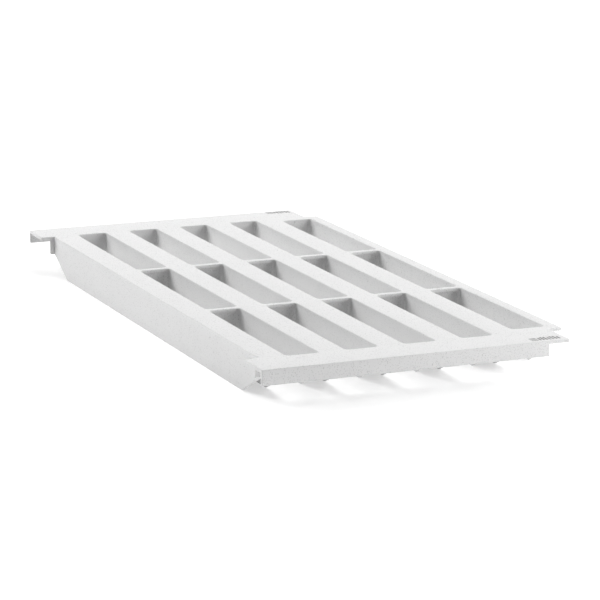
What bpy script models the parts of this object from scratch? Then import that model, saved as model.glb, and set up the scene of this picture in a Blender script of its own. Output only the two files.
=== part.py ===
"""A slotted plastic tray with a hooked flange at each end, in metres, +Z up.

X runs across the tray, Y along its slots (+Y is the back) and Z up. The origin is under the middle
of the tray's outer box, level with the lowest wall edges.

The tray is a flat deck with five columns of three open slots. A deep wall hangs under each long
side of a slot column, and one more makes the left side of the tray. All of them have the same
outline, with their lower corners cut off so that they clear the rails that the tray hangs on. Both
flanges are set over to the left, so that a tray's left ears fill its neighbour's right notches.
"""

import bmesh
import bpy
from math import cos, pi, sin
from mathutils import Vector

GAP = 0.0003

# Driving dimensions of the whole tray.
LENGTH = 0.600
HEIGHT = 0.037
FLANGE_DEPTH = 0.0388
FLANGE_SHIFT = 0.0133
DECK_THICKNESS = 0.003
WALL = 0.0025

# The slot columns, from the left side of the body.
LEFT_BAND = 0.0244
SLOT_WIDTH = 0.0297
LAST_SLOT_WIDTH = 0.0314
COLUMN_PITCH = 0.05443
COLUMNS = 5
RIGHT_BAND = 0.0119

# The slots along Y.
ROWS = 3
BACK_SLOT_END = 0.2612
FRONT_SLOT_END = 0.2630
CROSS_BAR = 0.0063
CROSS_BAR_PLACE = 0.0872
SHORT_SLOT_CUT = 0.0115
SLOT_CORNER_RADIUS = 0.0035
CORNER_STEPS = 5

# Every wall's lower corners are cut off on one slanted line at each end.
SLANT_FOOT = 0.224
SLANT_RISE = 0.505

# The walls across the two ends.
BACK_END_WALL = 0.0025
FRONT_END_WALL = 0.0043
BACK_WALL_REACH = 0.0041
FRONT_WALL_REACH = 0.0053
BACK_SKIRT_HEIGHT = 0.0128
FRONT_SKIRT_HEIGHT = 0.0138
SKIRT_THICKNESS = 0.003
SKIRT_SHORTFALL = 0.0194
SEAT_THICKNESS = 0.0004
SEAT_MARGIN = 0.0004

BODY_WIDTH = LEFT_BAND + (COLUMNS - 1) * COLUMN_PITCH + LAST_SLOT_WIDTH + RIGHT_BAND
TOTAL_WIDTH = BODY_WIDTH + FLANGE_SHIFT
FLANGE_LEFT = -TOTAL_WIDTH / 2
BODY_RIGHT = TOTAL_WIDTH / 2
BODY_LEFT = FLANGE_LEFT + FLANGE_SHIFT
FLANGE_RIGHT = BODY_RIGHT - FLANGE_SHIFT
DECK_END = LENGTH / 2
BODY_END = DECK_END - FLANGE_DEPTH
DECK_UNDERSIDE = HEIGHT - DECK_THICKNESS
WALL_TOP = DECK_UNDERSIDE - GAP

PLASTIC_COLOUR = (0.80, 0.80, 0.79)
PLASTIC_ROUGHNESS = 0.55


def clear_scene():
    """Remove whatever the file holds."""
    for item in list(bpy.data.objects):
        bpy.data.objects.remove(item, do_unlink=True)


def pale_plastic():
    """The semi-matte plastic of every piece."""
    material = bpy.data.materials.new("pale_plastic")
    material.use_nodes = True
    shader = material.node_tree.nodes["Principled BSDF"]
    shader.inputs["Base Color"].default_value = (*PLASTIC_COLOUR, 1.0)
    shader.inputs["Roughness"].default_value = PLASTIC_ROUGHNESS
    shader.inputs["Metallic"].default_value = 0.0
    return material


def column_edges(column):
    """The left and right edges in X of a slot column, which is counted from 0 at the left."""
    left = BODY_LEFT + LEFT_BAND + column * COLUMN_PITCH
    last = column == COLUMNS - 1
    return left, left + (LAST_SLOT_WIDTH if last else SLOT_WIDTH)


def row_edges(row, column):
    """The front and back edges in Y of a slot. Row 0 is at the front."""
    short = SHORT_SLOT_CUT if column == COLUMNS - 1 else 0.0
    bar_edge = CROSS_BAR_PLACE + CROSS_BAR / 2
    gap_edge = CROSS_BAR_PLACE - CROSS_BAR / 2
    return [(short - FRONT_SLOT_END, -bar_edge), (-gap_edge, gap_edge),
            (bar_edge, BACK_SLOT_END - short)][row]


def slant(y):
    """The height of the slanted line that cuts the walls' lower corners, at a place along Y."""
    return SLANT_RISE * (abs(y) - SLANT_FOOT)


def prism(name, outline, direction, material):
    """One closed solid: a flat outline pushed along a direction. The outline's points run
    anticlockwise when seen against that direction."""
    mesh = bpy.data.meshes.new(name)
    shape = bmesh.new()
    start = [shape.verts.new(point) for point in outline]
    end = [shape.verts.new(Vector(point) + Vector(direction)) for point in outline]
    shape.faces.new(list(reversed(start)))
    shape.faces.new(end)
    for index in range(len(outline)):
        after = (index + 1) % len(outline)
        shape.faces.new([start[index], start[after], end[after], end[index]])
    bmesh.ops.recalc_face_normals(shape, faces=shape.faces)
    shape.to_mesh(mesh)
    shape.free()
    item = bpy.data.objects.new(name, mesh)
    bpy.context.scene.collection.objects.link(item)
    if material:
        mesh.materials.append(material)
    return item


def block(name, low, high, material):
    """A rectangular solid between two corners."""
    outline = [(low[0], low[1], low[2]), (high[0], low[1], low[2]),
               (high[0], high[1], low[2]), (low[0], high[1], low[2])]
    return prism(name, outline, (0, 0, high[2] - low[2]), material)


def rounded_outline(low, high, radius, z):
    """A rectangle at height z with its four corners turned on arcs."""
    corners = [(high[0] - radius, high[1] - radius), (low[0] + radius, high[1] - radius),
               (low[0] + radius, low[1] + radius), (high[0] - radius, low[1] + radius)]
    points = []
    for quarter, (x, y) in enumerate(corners):
        for step in range(CORNER_STEPS + 1):
            angle = (quarter + step / CORNER_STEPS) * pi / 2
            points.append((x + radius * cos(angle), y + radius * sin(angle), z))
    return points


def deck_outline():
    """The deck seen from above: the body, with both flanges set over to the left."""
    half = [(FLANGE_RIGHT, DECK_END), (FLANGE_LEFT, DECK_END), (FLANGE_LEFT, BODY_END),
            (BODY_LEFT, BODY_END)]
    front = [(x, -y) for x, y in reversed(half)]
    return half + front + [(FLANGE_RIGHT, -BODY_END), (BODY_RIGHT, -BODY_END),
                           (BODY_RIGHT, BODY_END), (FLANGE_RIGHT, BODY_END)]


def as_cutter(item):
    """Mark an object as a helper shape for a Boolean, and not a piece of the tray."""
    item.hide_render = True
    item.display_type = "WIRE"
    return item


def boolean(item, other, operation):
    """Join a helper shape to an object, or cut it away."""
    modifier = item.modifiers.new(other.name, "BOOLEAN")
    modifier.operation = operation
    modifier.solver = "EXACT"
    modifier.object = other


def make_deck(material):
    """The flat top, with the slots cut right through it. Under each flange it is a little
    thicker between the end wall and the skirt, where it rests on the rail."""
    outline = [(x, y, DECK_UNDERSIDE) for x, y in deck_outline()]
    deck = prism("deck_sheet", outline, (0, 0, DECK_THICKNESS), material)
    outer = DECK_END - SKIRT_THICKNESS - SEAT_MARGIN
    for place, side, inner in (("front", -1, FRONT_SLOT_END + FRONT_END_WALL + SEAT_MARGIN),
                               ("back", 1, BACK_SLOT_END + BACK_END_WALL + SEAT_MARGIN)):
        faces = sorted((side * inner, side * outer))
        seat = block(f"{place}_seat", (FLANGE_LEFT, faces[0], DECK_UNDERSIDE - SEAT_THICKNESS),
                     (FLANGE_RIGHT, faces[1], DECK_UNDERSIDE + DECK_THICKNESS / 2), None)
        boolean(deck, as_cutter(seat), "UNION")
    for column in range(COLUMNS):
        left, right = column_edges(column)
        for row in range(ROWS):
            front, back = row_edges(row, column)
            base = DECK_UNDERSIDE - DECK_THICKNESS
            hole = rounded_outline((left, front), (right, back), SLOT_CORNER_RADIUS, base)
            cutter = prism(f"slot_cutter_{column + 1}_{row + 1}", hole,
                           (0, 0, 3 * DECK_THICKNESS), None)
            boolean(deck, as_cutter(cutter), "DIFFERENCE")


def long_wall(name, left, front, back, material):
    """One deep wall along Y, with its two lower corners cut off on the slanted lines."""
    outline = [(left, front, WALL_TOP), (left, front, slant(front)), (left, -SLANT_FOOT, 0.0),
               (left, SLANT_FOOT, 0.0), (left, back, slant(back)), (left, back, WALL_TOP)]
    prism(name, outline, (WALL, 0, 0), material)


def make_long_walls(material):
    """The left side of the tray, and the two long walls of each slot column. The last wall is as
    short as its slots are, which cuts back the body's right corners."""
    back = BACK_SLOT_END - GAP
    long_wall("left_side_skirt", BODY_LEFT, GAP - BODY_END, back, material)
    front = GAP - FRONT_SLOT_END
    for column in range(COLUMNS):
        left, right = column_edges(column)
        long_wall(f"slot_{column + 1}_left_wall", left - WALL, front, back, material)
        if column == COLUMNS - 1:
            front = row_edges(0, column)[0] - WALL
            back = row_edges(ROWS - 1, column)[1] + WALL
        long_wall(f"slot_{column + 1}_right_wall", right, front, back, material)


def make_cross_walls(material):
    """The walls under the bars that part one slot from the next in a column."""
    for column in range(COLUMNS):
        left, right = column_edges(column)
        for place, middle in (("front", -CROSS_BAR_PLACE), ("back", CROSS_BAR_PLACE)):
            block(f"{place}_cross_wall_{column + 1}",
                  (left + GAP, middle - WALL / 2, 0.0),
                  (right - GAP, middle + WALL / 2, WALL_TOP), material)


def slanted_wall(name, left, right, inner, outer, material):
    """A wall across the tray between two places along Y. Its underside follows the slant."""
    outline = [(left, inner, WALL_TOP), (left, inner, slant(inner)),
               (left, outer, slant(outer)), (left, outer, WALL_TOP)]
    return prism(name, outline, (right - left, 0, 0), material)


def make_short_slot_walls(material):
    """The last column's end slots stop short, so each has an end wall of its own."""
    left, right = column_edges(COLUMNS - 1)
    front = row_edges(0, COLUMNS - 1)[0]
    back = row_edges(ROWS - 1, COLUMNS - 1)[1]
    for place, inner, outer in (("front", front, front - WALL), ("back", back, back + WALL)):
        slanted_wall(f"{place}_slot_{COLUMNS}_end_wall", left + GAP, right - GAP, inner, outer,
                     material)


def make_end_walls(material):
    """The low walls across the body's ends, which close the end slots and face the rails. Both
    reach a little past the left side, where the front one has a thicker corner, and they stop
    at the last column, whose slots have end walls of their own."""
    right = column_edges(COLUMNS - 1)[0]
    slanted_wall("back_end_wall", BODY_LEFT - BACK_WALL_REACH, right, BACK_SLOT_END,
                 BACK_SLOT_END + BACK_END_WALL, material)
    left = BODY_LEFT - FRONT_WALL_REACH
    outer = -FRONT_SLOT_END - FRONT_END_WALL
    wall = slanted_wall("front_end_wall", left, right, -FRONT_SLOT_END, outer, material)
    corner = slanted_wall("front_corner", left, BODY_LEFT + WALL, -BODY_END, outer, None)
    boolean(wall, as_cutter(corner), "UNION")


def make_end_skirts(material):
    """The outer lip of each flange, which hooks over the rail. It stops short of the right end."""
    for place, side, height in (("front", -1, FRONT_SKIRT_HEIGHT),
                                ("back", 1, BACK_SKIRT_HEIGHT)):
        faces = sorted((side * DECK_END, side * (DECK_END - SKIRT_THICKNESS)))
        block(f"{place}_end_skirt", (FLANGE_LEFT, faces[0], HEIGHT - height),
              (FLANGE_RIGHT - SKIRT_SHORTFALL, faces[1], WALL_TOP), material)


def main():
    clear_scene()
    plastic = pale_plastic()
    make_deck(plastic)
    make_long_walls(plastic)
    make_cross_walls(plastic)
    make_short_slot_walls(plastic)
    make_end_walls(plastic)
    make_end_skirts(plastic)


main()
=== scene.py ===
"""The looks of the slotted tray: moulded, speckled plastic with soft edges, on a pale studio floor.

Everything is in metres in the CAD's frame: X across the tray, Y along its slots (+Y is the back),
Z up. Each CAD node is replaced by a finer piece of the same size, made in the same place.
"""

from math import cos, pi, radians, sin, tan

import bmesh
import bpy
from mathutils import Matrix, Vector


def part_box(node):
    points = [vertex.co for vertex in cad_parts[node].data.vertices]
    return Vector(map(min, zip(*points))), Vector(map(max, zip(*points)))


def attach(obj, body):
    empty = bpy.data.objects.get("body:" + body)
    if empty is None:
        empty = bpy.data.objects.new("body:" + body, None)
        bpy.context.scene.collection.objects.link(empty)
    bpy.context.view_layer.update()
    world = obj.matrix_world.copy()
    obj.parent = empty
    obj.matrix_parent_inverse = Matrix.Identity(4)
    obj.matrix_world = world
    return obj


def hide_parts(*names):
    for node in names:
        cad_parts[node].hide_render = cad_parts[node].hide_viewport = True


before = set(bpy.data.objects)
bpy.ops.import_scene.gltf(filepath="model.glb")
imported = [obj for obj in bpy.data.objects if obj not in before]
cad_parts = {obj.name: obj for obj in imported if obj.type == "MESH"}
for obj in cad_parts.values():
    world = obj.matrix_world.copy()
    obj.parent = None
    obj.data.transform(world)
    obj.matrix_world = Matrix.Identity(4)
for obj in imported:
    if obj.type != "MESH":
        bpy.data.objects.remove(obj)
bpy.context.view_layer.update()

BODY = "root"

# The tray's grid, which is the CAD's. The slanted line that cuts the walls' lower ends starts at
# SLANT_FOOT from the middle and climbs SLANT_RISE metres for each metre outwards.
COLUMNS = 5
CROSS_BAR = 0.0063
DECK_THICKNESS = 0.003
MEMBER_GAP = 0.0003
SLOT_CORNER_RADIUS = 0.0035
SLANT_FOOT = 0.224
SLANT_RISE = 0.505

# Soft edges of the moulding.
EDGE_RADIUS = 0.0007
SLOT_EDGE_RADIUS = 0.0011
FOOT_RADIUS = 0.0006
PLAN_RADIUS = 0.0009
ARC_STEPS = 5
FOOT_STEPS = 3
WEB_BITE = 0.0002
SHARP_ANGLE = radians(35)

# The rest pads under the flanges.
PAD_DROP = 0.0004
PAD_MARGIN = 0.0012

# The sunk bars at the flanges' right ends. Each flange's marks are given by their distance in
# from its outer edge and from its right end, and by how many upright bars they have.
FRONT_MARKS = (0.0045, 0.0050, 7)
BACK_MARKS = (0.0030, 0.0036, 6)
MARK_DEPTH = 0.00025
MARK_SLOPE = 0.0001
MARK_RADIUS = 0.0003
MARK_BAR = 0.0021
MARK_PITCH = 0.0030
MARK_REACH = 0.0100
MARK_SHORT = 0.8
MARK_ROWS = 3
MARK_ROW_WIDTH = 0.0070
MARK_ROW_GAP = 0.0010

# The plastic: its greys, its flecks' sizes with the share of cells that hold one and their
# strength, and how rough and glossy it is.
PLASTIC_GREYS = (0.665, 0.625, 0.26)
# The darker greys of the sunk bars' floors.
DARK_FLOOR_GREYS = (0.21, 0.18, 0.14)
FLECKS = ((0.0010, 0.80, 0.50), (0.0016, 0.60, 0.50), (0.0026, 0.08, 0.40))
FLECK_SOFTNESS = 0.08
FLECK_REACH = (0.12, 0.36)
CLOUD_SCALE = 55.0
GRAIN_SCALE = 900.0
GRAIN_HEIGHT = 0.00012
ROUGHNESS = (0.50, 0.66)
GLOSS = 0.12

# The camera: what it looks at, where it stands and its lens. An azimuth of 0 is -Y and 90 is +X.
CAMERA_TARGET = Vector((-0.0200, -0.0823, 0.037))
CAMERA_AZIMUTH = -23.80
CAMERA_ELEVATION = 13.19
CAMERA_ROLL = 0.477
CAMERA_DISTANCE = 2.498
CAMERA_LENS = 166.41

# The studio: the floor's glow, which is painted light that also lights the tray from below, the
# duller round patch in that glow at the back left, and the lamps, each with its azimuth, elevation,
# distance, width and power.
FLOOR_SIZE = 16.0
FLOOR_GAP = 0.0002
FLOOR_GREY = 0.78
FLOOR_GLOW = 0.43
DULL_PLACE = (-0.40, 0.26, 0.0)
DULL_GLOW = 0.15
DULL_INNER = 0.10
DULL_OUTER = 0.42
LAMPS = [("right", 70, 32, 3.6, 2.45, 100.0), ("top", 145, 62, 3.6, 2.45, 63.0),
         ("back_left", 230, 36, 3.6, 2.45, 106.0), ("back", 190, 30, 3.6, 2.45, 33.0),
         ("front_right", 48, 12, 1.3, 0.9, 7.0)]


def side(node, axis, upper):
    """One face of a CAD node's box: its lower or its upper side along an axis."""
    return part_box(node)[1 if upper else 0]["xyz".index(axis)]


# Places read from the CAD nodes.
FLANGE_LEFT = side("deck_sheet", "x", False)
BODY_RIGHT = side("deck_sheet", "x", True)
FRONT_END = side("deck_sheet", "y", False)
BACK_END = side("deck_sheet", "y", True)
DECK_TOP = side("deck_sheet", "z", True)
DECK_UNDER = DECK_TOP - DECK_THICKNESS
BODY_LEFT = side("left_side_skirt", "x", False)
WALL = side("left_side_skirt", "x", True) - BODY_LEFT
FLANGE_RIGHT = BODY_RIGHT - (BODY_LEFT - FLANGE_LEFT)
BODY_END = side("back_end_wall", "y", False)
FRONT_SLOT_END = side("slot_1_left_wall", "y", False) - MEMBER_GAP
BACK_SLOT_END = BODY_END


# ---------------------------------------------------------------------------------------------
# Mesh tools


def rounded_loop(corners, radius, outset=0.0):
    """A closed outline, anticlockwise, with its corners turned on arcs. It is moved out by
    outset, which widens the arcs of its convex corners and tightens the others."""
    points = []
    count = len(corners)
    for index in range(count):
        corner = Vector(corners[index])
        before = (Vector(corners[index - 1]) - corner).normalized()
        after = (Vector(corners[(index + 1) % count]) - corner).normalized()
        convex = before.x * after.y - before.y * after.x < 0
        half = before.angle(after) / 2
        middle = corner + (before + after).normalized() * radius / sin(half)
        arm = corner + before * radius / tan(half) - middle
        turn = (pi - 2 * half) * (1 if convex else -1)
        reach = (radius + outset if convex else radius - outset) / radius
        for step in range(ARC_STEPS + 1):
            turned = Matrix.Rotation(turn * step / ARC_STEPS, 2) @ arm
            points.append(middle + turned * reach)
    return points


def rectangle(left, right, front, back):
    """A rectangle's corners, anticlockwise from its front left."""
    return [(left, front), (right, front), (right, back), (left, back)]


def ring(shape, points, height):
    """A closed chain of vertices. Height is a number, or a function of a point."""
    if not callable(height):
        level = height
        return [shape.verts.new((point.x, point.y, level)) for point in points]
    return [shape.verts.new((point.x, point.y, height(point))) for point in points]


def skin(shape, lower, upper, smooth):
    """A band of quads between two chains with as many vertices."""
    for index in range(len(lower)):
        after = (index + 1) % len(lower)
        face = shape.faces.new((lower[index], lower[after], upper[after], upper[index]))
        face.smooth = smooth


def fill(shape, chains, normal):
    """Fill the outer chain with flat faces and leave the other chains open."""
    edges = []
    for chain in chains:
        for index, vertex in enumerate(chain):
            pair = (vertex, chain[(index + 1) % len(chain)])
            edges.append(shape.edges.get(pair))
    bmesh.ops.triangle_fill(shape, use_beauty=True, edges=edges, normal=normal)


def soften(shape, radius, wanted):
    """Round the edges whose two ends both pass the test."""
    edges = [edge for edge in shape.edges if all(wanted(vertex.co) for vertex in edge.verts)]
    made = bmesh.ops.bevel(shape, geom=edges, offset=radius, offset_type="OFFSET",
                           segments=FOOT_STEPS, profile=0.5, affect="EDGES",
                           clamp_overlap=True)
    for face in made["faces"]:
        face.smooth = True


def finished(name, shape, materials, node):
    """Turn a mesh into a piece that rides on the tray and stands for its CAD node."""
    bmesh.ops.recalc_face_normals(shape, faces=shape.faces)
    mesh = bpy.data.meshes.new(name)
    shape.to_mesh(mesh)
    shape.free()
    mesh.set_sharp_from_angle(angle=SHARP_ANGLE)
    for material in materials:
        mesh.materials.append(material)
    piece = bpy.data.objects.new(name, mesh)
    bpy.context.scene.collection.objects.link(piece)
    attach(piece, BODY)
    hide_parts(node)
    return piece


def slant_height(y):
    """The height of the slanted line that cuts the walls' lower ends, at a place along Y."""
    return SLANT_RISE * (abs(y) - SLANT_FOOT)


def slant(point):
    """A wall's foot on the slanted line."""
    return slant_height(point.y)


def level(height):
    """A wall's foot at one height everywhere."""
    return lambda point: height


def hanging_wall(shape, corners, foot):
    """A wall that hangs from the deck: a plan outline, and the height of its foot as a function
    of a point. The foot's edges are soft."""
    chains = [ring(shape, rounded_loop(corners, PLAN_RADIUS), DECK_UNDER)]
    for step in range(FOOT_STEPS + 1):
        angle = step / FOOT_STEPS * pi / 2
        points = rounded_loop(corners, PLAN_RADIUS, FOOT_RADIUS * (cos(angle) - 1))
        rise = FOOT_RADIUS * (1 - sin(angle))
        chains.append(ring(shape, points, lambda point: foot(point) + rise))
    for index in range(len(chains) - 1):
        skin(shape, chains[index], chains[index + 1], smooth=True)
    shape.faces.new(chains[0])
    shape.faces.new(chains[-1])


def corner_web(shape, x, y, x_way, y_way, foot):
    """The rounded inside corner where two walls meet. It fills the plan corner at x, y towards
    x_way, y_way, and bites a little into both walls."""
    radius = SLOT_CORNER_RADIUS
    bite = WEB_BITE
    plan = [(x - x_way * bite, y - y_way * bite), (x - x_way * bite, y + y_way * radius)]
    for step in range(ARC_STEPS + 1):
        angle = step / ARC_STEPS * pi / 2
        plan.append((x + x_way * radius * (1 - cos(angle)), y + y_way * radius * (1 - sin(angle))))
    plan.append((x + x_way * radius, y - y_way * bite))
    points = [Vector(point) for point in plan]
    lower = ring(shape, points, foot)
    upper = ring(shape, points, DECK_UNDER)
    skin(shape, lower, upper, smooth=True)
    shape.faces.new(lower)
    shape.faces.new(upper)


# ---------------------------------------------------------------------------------------------
# Pieces


def slot_column(column):
    """The left and right edges of a slot column, which is counted from 1."""
    return (side(f"slot_{column}_left_wall", "x", True),
            side(f"slot_{column}_right_wall", "x", False))


def slot_rows(column):
    """The front and back edges of the three slots in a column."""
    first, last = FRONT_SLOT_END, BACK_SLOT_END
    if column == COLUMNS:
        first = side("front_slot_5_end_wall", "y", True)
        last = side("back_slot_5_end_wall", "y", False)
    bars = [(side(f"{place}_cross_wall_{column}", "y", False) +
             side(f"{place}_cross_wall_{column}", "y", True)) / 2 for place in ("front", "back")]
    half = CROSS_BAR / 2
    return [(first, bars[0] - half), (bars[0] + half, bars[1] - half), (bars[1] + half, last)]


def deck_corners():
    """The deck's outline, anticlockwise, with both flanges set over to the left."""
    return [(FLANGE_LEFT, FRONT_END), (FLANGE_RIGHT, FRONT_END), (FLANGE_RIGHT, -BODY_END),
            (BODY_RIGHT, -BODY_END), (BODY_RIGHT, BODY_END), (FLANGE_RIGHT, BODY_END),
            (FLANGE_RIGHT, BACK_END), (FLANGE_LEFT, BACK_END), (FLANGE_LEFT, BODY_END),
            (BODY_LEFT, BODY_END), (BODY_LEFT, -BODY_END), (FLANGE_LEFT, -BODY_END)]


def rim(shape, corners, plan_radius, edge_radius, into):
    """A vertical side from the deck's underside that turns over a soft edge into its top.
    Into is the way to the material: -1 is towards the outline's inside and 1 is out of it."""
    chains = [ring(shape, rounded_loop(corners, plan_radius), DECK_UNDER)]
    for step in range(ARC_STEPS + 1):
        angle = step / ARC_STEPS * pi / 2
        points = rounded_loop(corners, plan_radius, into * edge_radius * (1 - cos(angle)))
        chains.append(ring(shape, points, DECK_TOP - edge_radius * (1 - sin(angle))))
    for index in range(len(chains) - 1):
        skin(shape, chains[index], chains[index + 1], smooth=True)
    return chains[0], chains[-1]


def step_in(shape, corners, radius, start, end, inset):
    """A small step up or down in a flat face, with its own floor. Its rim is left open in the
    face around it."""
    rim_chain = ring(shape, rounded_loop(corners, radius), start)
    floor_chain = ring(shape, rounded_loop(corners, radius, -inset), end)
    skin(shape, rim_chain, floor_chain, smooth=False)
    return rim_chain, shape.faces.new(floor_chain)


def mark_bars():
    """Plain sunk bars near the right end of both flanges: three short rows across, then a row
    of upright ones of two lengths."""
    bars = []
    for edge, way, (margin, inset, count) in ((FRONT_END, 1, FRONT_MARKS),
                                              (BACK_END, -1, BACK_MARKS)):
        near = edge + way * margin
        left = FLANGE_RIGHT - inset - count * MARK_PITCH
        for index in range(count):
            place = left + index * MARK_PITCH
            reach = MARK_REACH * (1.0 if index % 3 else MARK_SHORT)
            faces = sorted((near, near + way * reach))
            bars.append(rectangle(place, place + MARK_BAR, *faces))
        left -= MARK_ROW_GAP + MARK_ROW_WIDTH
        for index in range(MARK_ROWS):
            start = near + way * index * MARK_REACH / MARK_ROWS
            faces = sorted((start, start + way * MARK_BAR))
            bars.append(rectangle(left, left + MARK_ROW_WIDTH, *faces))
    return bars


def make_deck(plastic, dark_floor_plastic):
    """The flat top, with rounded slot mouths, a soft outer edge and rest pads underneath."""
    shape = bmesh.new()
    rims = [rim(shape, deck_corners(), PLAN_RADIUS, EDGE_RADIUS, -1)]
    for column in range(1, COLUMNS + 1):
        left, right = slot_column(column)
        for front, back in slot_rows(column):
            rims.append(rim(shape, rectangle(left, right, front, back), SLOT_CORNER_RADIUS,
                            SLOT_EDGE_RADIUS, 1))
    lower = [low for low, high in rims]
    upper = [high for low, high in rims]
    dark_floors = []
    for bar in mark_bars():
        chain, floor = step_in(shape, bar, MARK_RADIUS, DECK_TOP, DECK_TOP - MARK_DEPTH,
                               MARK_SLOPE)
        upper.append(chain)
        dark_floors.append(floor)
    for place, back in (("front", False), ("back", True)):
        faces = sorted((side(f"{place}_end_wall", "y", back),
                        side(f"{place}_end_skirt", "y", not back)))
        pad = rectangle(FLANGE_LEFT + PAD_MARGIN, FLANGE_RIGHT - PAD_MARGIN,
                        faces[0] + PAD_MARGIN / 2, faces[1] - PAD_MARGIN / 2)
        lower.append(step_in(shape, pad, PLAN_RADIUS, DECK_UNDER, DECK_UNDER - PAD_DROP,
                             PAD_DROP / 2)[0])
    fill(shape, lower, (0, 0, -1))
    fill(shape, upper, (0, 0, 1))
    # The sunk bars' floors take the darker grey plastic.
    for floor in dark_floors:
        floor.material_index = 1
    finished("deck", shape, [plastic, dark_floor_plastic], "deck_sheet")


def make_long_walls(plastic):
    """The deep walls along the tray, which reach up to the deck and have soft lower edges."""
    ends = {"left_side_skirt": (-BODY_END, BACK_SLOT_END)}
    for column in range(1, COLUMNS + 1):
        ends[f"slot_{column}_left_wall"] = (FRONT_SLOT_END, BACK_SLOT_END)
        ends[f"slot_{column}_right_wall"] = (FRONT_SLOT_END, BACK_SLOT_END)
    short = f"slot_{COLUMNS}_right_wall"
    ends[short] = (side(short, "y", False), side(short, "y", True))
    for name, (front, back) in ends.items():
        left, right = side(name, "x", False), side(name, "x", True)
        shape = bmesh.new()
        profile = [(front, DECK_UNDER), (front, slant_height(front)),
                   (-SLANT_FOOT, 0.0), (SLANT_FOOT, 0.0),
                   (back, slant_height(back)), (back, DECK_UNDER)]
        near = [shape.verts.new((left, y, z)) for y, z in profile]
        far = [shape.verts.new((right, y, z)) for y, z in profile]
        skin(shape, near, far, smooth=False)
        shape.faces.new(near)
        shape.faces.new(far)
        soften(shape, FOOT_RADIUS, lambda point: point.z < DECK_UNDER - 0.001)
        finished(f"{name}_moulded", shape, [plastic], name)


def make_cross_walls(plastic):
    """The walls under the bars between slots, with rounded inside corners on both faces."""
    for column in range(1, COLUMNS + 1):
        left, right = slot_column(column)
        for place in ("front", "back"):
            name = f"{place}_cross_wall_{column}"
            faces = side(name, "y", False), side(name, "y", True)
            shape = bmesh.new()
            hanging_wall(shape, rectangle(left - WEB_BITE, right + WEB_BITE, *faces), level(0.0))
            for x, x_way in ((left, 1), (right, -1)):
                corner_web(shape, x, faces[0], x_way, -1, level(0.0))
                corner_web(shape, x, faces[1], x_way, 1, level(0.0))
            finished(f"{name}_moulded", shape, [plastic], name)


def make_short_slot_walls(plastic):
    """The end walls of the two short slots in the last column."""
    left, right = slot_column(COLUMNS)
    for place, way in (("front", 1), ("back", -1)):
        name = f"{place}_slot_{COLUMNS}_end_wall"
        faces = side(name, "y", False), side(name, "y", True)
        inner = faces[1] if place == "front" else faces[0]
        shape = bmesh.new()
        hanging_wall(shape, rectangle(left - WEB_BITE, right + WEB_BITE, *faces), slant)
        for x, x_way in ((left, 1), (right, -1)):
            corner_web(shape, x, inner, x_way, way, slant)
        finished(f"{name}_moulded", shape, [plastic], name)


def make_end_walls(plastic):
    """The low walls across the body's ends, with rounded corners inside each end slot."""
    front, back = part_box("front_end_wall"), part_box("back_end_wall")
    joint = BODY_LEFT + WALL
    plans = {"back_end_wall": rectangle(back[0].x, back[1].x, back[0].y, back[1].y),
             "front_end_wall": [(front[0].x, front[0].y), (front[1].x, front[0].y),
                                (front[1].x, FRONT_SLOT_END), (joint, FRONT_SLOT_END),
                                (joint, -BODY_END), (front[0].x, -BODY_END)]}
    for name, inner, way in (("front_end_wall", FRONT_SLOT_END, 1),
                             ("back_end_wall", BACK_SLOT_END, -1)):
        shape = bmesh.new()
        hanging_wall(shape, plans[name], slant)
        for column in range(1, COLUMNS):
            left, right = slot_column(column)
            corner_web(shape, left, inner, 1, way, slant)
            corner_web(shape, right, inner, -1, way, slant)
        finished(f"{name}_moulded", shape, [plastic], name)


def make_end_skirts(plastic):
    """The outer lip of each flange."""
    for name in ("front_end_skirt", "back_end_skirt"):
        low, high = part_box(name)
        shape = bmesh.new()
        hanging_wall(shape, rectangle(low.x, high.x, low.y, high.y), level(low.z))
        finished(f"{name}_moulded", shape, [plastic], name)


# ---------------------------------------------------------------------------------------------
# Material


def add(tree, kind, settings=None, **inputs):
    """A shader node. Its inputs are set by name, with _ for a space; a socket is linked."""
    made = tree.nodes.new(kind)
    for name, value in (settings or {}).items():
        setattr(made, name, value)
    for name, value in inputs.items():
        socket = made.inputs[int(name[1:])] if name[0] == "i" and name[1:].isdigit() else \
            made.inputs[name.replace("_", " ")]
        if isinstance(value, bpy.types.NodeSocket):
            tree.links.new(value, socket)
        else:
            socket.default_value = value
    return made


def flecks(tree, place, size, share):
    """A mask of round flecks of about a size in metres. Share is how many cells hold one."""
    cells = add(tree, "ShaderNodeTexVoronoi", {"feature": "F1"}, Vector=place, Scale=1 / size)
    chance = add(tree, "ShaderNodeSeparateColor", None, Color=cells.outputs["Color"])
    chosen = add(tree, "ShaderNodeMath", {"operation": "LESS_THAN"},
                 i0=chance.outputs["Red"], i1=share)
    reach = add(tree, "ShaderNodeMapRange", None, Value=chance.outputs["Green"],
                To_Min=FLECK_REACH[0], To_Max=FLECK_REACH[1])
    gap = add(tree, "ShaderNodeMath", {"operation": "SUBTRACT"},
              i0=reach.outputs["Result"], i1=cells.outputs["Distance"])
    edge = add(tree, "ShaderNodeMapRange", {"clamp": True}, Value=gap.outputs["Value"],
               From_Min=0.0, From_Max=FLECK_SOFTNESS)
    mask = add(tree, "ShaderNodeMath", {"operation": "MULTIPLY"},
               i0=edge.outputs["Result"], i1=chosen.outputs["Value"])
    return mask.outputs["Value"]


def mixed(tree, amount, first, second):
    """A colour between two colours."""
    return add(tree, "ShaderNodeMix", {"data_type": "RGBA"},
               i0=amount, i6=first, i7=second).outputs[2]


def scaled(tree, value, factor):
    """A mask times a number."""
    return add(tree, "ShaderNodeMath", {"operation": "MULTIPLY"}, i0=value,
               i1=factor).outputs["Value"]


def grey(value):
    """An opaque grey."""
    return value, value, value, 1


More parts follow.
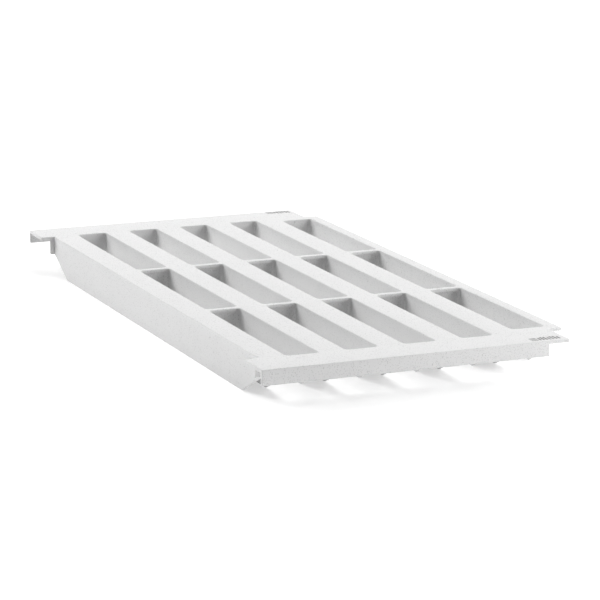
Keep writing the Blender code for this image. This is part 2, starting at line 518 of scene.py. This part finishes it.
def speckled(name, greys):
    """Matte moulded plastic: soft mottling, grey flecks of three sizes and a fine grain. Its
    greys are those of its light and dark parts and of its flecks."""
    light, dark, fleck = [grey(value) for value in greys]
    material = bpy.data.materials.new(name)
    material.use_nodes = True
    tree = material.node_tree
    shader = tree.nodes["Principled BSDF"]
    place = add(tree, "ShaderNodeTexCoord").outputs["Object"]
    clouds = add(tree, "ShaderNodeTexNoise", None, Vector=place, Scale=CLOUD_SCALE, Detail=4.0,
                 Roughness=0.6).outputs["Fac"]
    grain = add(tree, "ShaderNodeTexNoise", None, Vector=place, Scale=GRAIN_SCALE, Detail=3.0,
                Roughness=0.7).outputs["Fac"]
    base = mixed(tree, clouds, dark, light)
    for size, share, strength in FLECKS:
        mask = flecks(tree, place, size, share)
        base = mixed(tree, scaled(tree, mask, strength), base, fleck)
    tree.links.new(base, shader.inputs["Base Color"])
    rough = add(tree, "ShaderNodeMapRange", None, Value=grain, From_Min=0.3, From_Max=0.7,
                To_Min=ROUGHNESS[0], To_Max=ROUGHNESS[1])
    tree.links.new(rough.outputs["Result"], shader.inputs["Roughness"])
    bump = add(tree, "ShaderNodeBump", None, Height=grain, Strength=0.18, Distance=GRAIN_HEIGHT)
    tree.links.new(bump.outputs["Normal"], shader.inputs["Normal"])
    shader.inputs["Specular IOR Level"].default_value = GLOSS
    return material


# ---------------------------------------------------------------------------------------------
# Studio


def make_floor():
    """A plain pale floor just under the tray's wall feet, with a glow of its own: painted light
    that keeps the shadows light and lights the tray from below. The glow is weaker at the back
    left, which leaves the tray's side there darker."""
    bpy.ops.mesh.primitive_plane_add(size=FLOOR_SIZE, location=(0, 0, -FLOOR_GAP))
    floor = bpy.context.object
    floor.name = "studio_floor"
    material = bpy.data.materials.new("glowing_floor")
    material.use_nodes = True
    tree = material.node_tree
    shader = tree.nodes["Principled BSDF"]
    place = add(tree, "ShaderNodeTexCoord").outputs["Object"]
    away = add(tree, "ShaderNodeVectorMath", {"operation": "DISTANCE"}, i0=place, i1=DULL_PLACE)
    # Painted light: the floor's glow, dimmed round the patch at the back left.
    glow = add(tree, "ShaderNodeMapRange", {"interpolation_type": "SMOOTHSTEP"},
               Value=away.outputs["Value"], From_Min=DULL_INNER, From_Max=DULL_OUTER,
               To_Min=DULL_GLOW, To_Max=FLOOR_GLOW)
    tree.links.new(glow.outputs["Result"], shader.inputs["Emission Strength"])
    shader.inputs["Base Color"].default_value = grey(FLOOR_GREY)
    shader.inputs["Roughness"].default_value = 0.9
    shader.inputs["Specular IOR Level"].default_value = 0.0
    shader.inputs["Emission Color"].default_value = grey(1)
    floor.data.materials.append(material)


def towards(azimuth, elevation):
    """The direction from the tray to a place in the studio: 0 azimuth is -Y and 90 is +X."""
    turn, rise = radians(azimuth), radians(elevation)
    return Vector((sin(turn) * cos(rise), -cos(turn) * cos(rise), sin(rise)))


def make_camera():
    """The camera, from the front left and a little above."""
    back = towards(CAMERA_AZIMUTH, CAMERA_ELEVATION)
    right = towards(CAMERA_AZIMUTH + 90, 0)
    axes = Matrix((right, back.cross(right), back)).transposed()
    turn = axes @ Matrix.Rotation(radians(CAMERA_ROLL), 3, "Z")
    data = bpy.data.cameras.new("camera")
    data.lens = CAMERA_LENS
    data.sensor_width = 36.0
    data.clip_end = 50.0
    camera = bpy.data.objects.new("camera", data)
    bpy.context.scene.collection.objects.link(camera)
    place = CAMERA_TARGET + back * CAMERA_DISTANCE
    camera.matrix_world = Matrix.Translation(place) @ turn.to_4x4()
    bpy.context.scene.camera = camera


def make_light():
    """Large soft lamps round the tray, and no light from the room itself."""
    scene = bpy.context.scene
    world = bpy.data.worlds.new("studio")
    world.use_nodes = True
    world.node_tree.nodes["Background"].inputs["Strength"].default_value = 0.0
    scene.world = world
    scene.view_settings.view_transform = "Standard"
    for name, azimuth, elevation, distance, width, power in LAMPS:
        back = towards(azimuth, elevation)
        data = bpy.data.lights.new(name, "AREA")
        data.shape = "DISK"
        data.size = width
        data.energy = power
        lamp = bpy.data.objects.new(name, data)
        scene.collection.objects.link(lamp)
        facing = (-back).to_track_quat("-Z", "Y").to_matrix().to_4x4()
        lamp.matrix_world = Matrix.Translation(back * distance) @ facing


# ---------------------------------------------------------------------------------------------
# The scene


plastic = speckled("pale_plastic", PLASTIC_GREYS)
dark_floor_plastic = speckled("sunk_mark_floors", DARK_FLOOR_GREYS)
make_deck(plastic, dark_floor_plastic)
make_long_walls(plastic)
make_cross_walls(plastic)
make_short_slot_walls(plastic)
make_end_walls(plastic)
make_end_skirts(plastic)
make_floor()
make_light()
make_camera()
